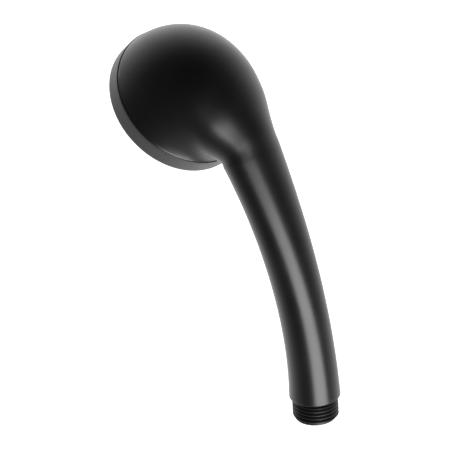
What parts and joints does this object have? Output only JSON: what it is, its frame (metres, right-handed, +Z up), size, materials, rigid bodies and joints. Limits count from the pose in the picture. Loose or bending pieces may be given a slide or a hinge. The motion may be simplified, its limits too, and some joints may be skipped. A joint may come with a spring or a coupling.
{
  "type": "hand shower head",
  "caption": "Hand shower with a curved hollow handle, a domed round head, a screw-on ring that clamps the spray face, soft nozzles, and a threaded inlet with a check valve.",
  "frame": {"origin": "centre of the inlet end face, where the hose nut's washer seals", "axes": "+Z up along the inlet thread into the handle; the spray face looks toward -Y and downward; symmetric about X = 0"},
  "size_m": [0.0682, 0.1113, 0.1761],
  "materials": {
    "shell_plastic": "satin black plated plastic",
    "ring_plastic": "satin black moulded plastic",
    "nipple_plastic": "black moulded plastic",
    "face_plastic": "dark grey moulded plastic",
    "nozzle_silicone": "grey silicone",
    "inner_plastic": "natural white moulded plastic",
    "seal_rubber": "black nitrile rubber",
    "filter_plastic": "blue moulded plastic",
    "regulator_plastic": "green moulded plastic",
    "steel_parts": "stainless steel"
  },
  "bodies": {
    "handset": {"handle_shell": "shell_plastic", "inlet_nipple": "nipple_plastic", "nipple_o_ring": "seal_rubber", "filter_rim": "filter_plastic", "filter_mesh": "steel_parts", "flow_regulator_body": "regulator_plastic", "flow_regulator_core": "inner_plastic", "flow_regulator_o_ring": "seal_rubber", "check_valve_housing": "inner_plastic", "check_valve_spring": "steel_parts", "check_valve_o_ring": "seal_rubber", "water_tube": "inner_plastic", "tube_o_ring_lower": "seal_rubber", "tube_o_ring_upper": "seal_rubber", "water_chamber": "inner_plastic", "chamber_screws": "steel_parts", "face_seal": "seal_rubber"},
    "spray_face": {"spray_plate": "face_plastic", "nozzle_mat": "nozzle_silicone", "diffuser_plate": "inner_plastic", "plate_screw": "steel_parts", "screw_cap": "ring_plastic"},
    "ring": {"clamp_ring": "ring_plastic"},
    "valve": {"check_valve_poppet": "inner_plastic", "check_valve_seal": "seal_rubber"}
  },
  "joints": [
    {"name": "face_release", "type": "slide", "parent": "handset", "child": "spray_face", "axis": [0, -0.6756, -0.7373], "range_m": [0, 0.00375]},
    {"name": "ring_unscrew", "type": "hinge", "parent": "spray_face", "child": "ring", "pos_m": [0, -0.0691, 0.1433], "axis": [0, -0.6756, -0.7373], "range_deg": [0, 540]},
    {"name": "check_valve_opening", "type": "slide", "parent": "handset", "child": "valve", "axis": [0, 0, 1], "range_m": [0, 0.0025], "stiffness_N_per_m": 60, "springref_m": -0.003, "deforming": ["check_valve_spring"]}
  ],
  "couplings": [
    {"joint": "ring_unscrew", "follows": "face_release", "rad_per_m": 2513.3}
  ]
}
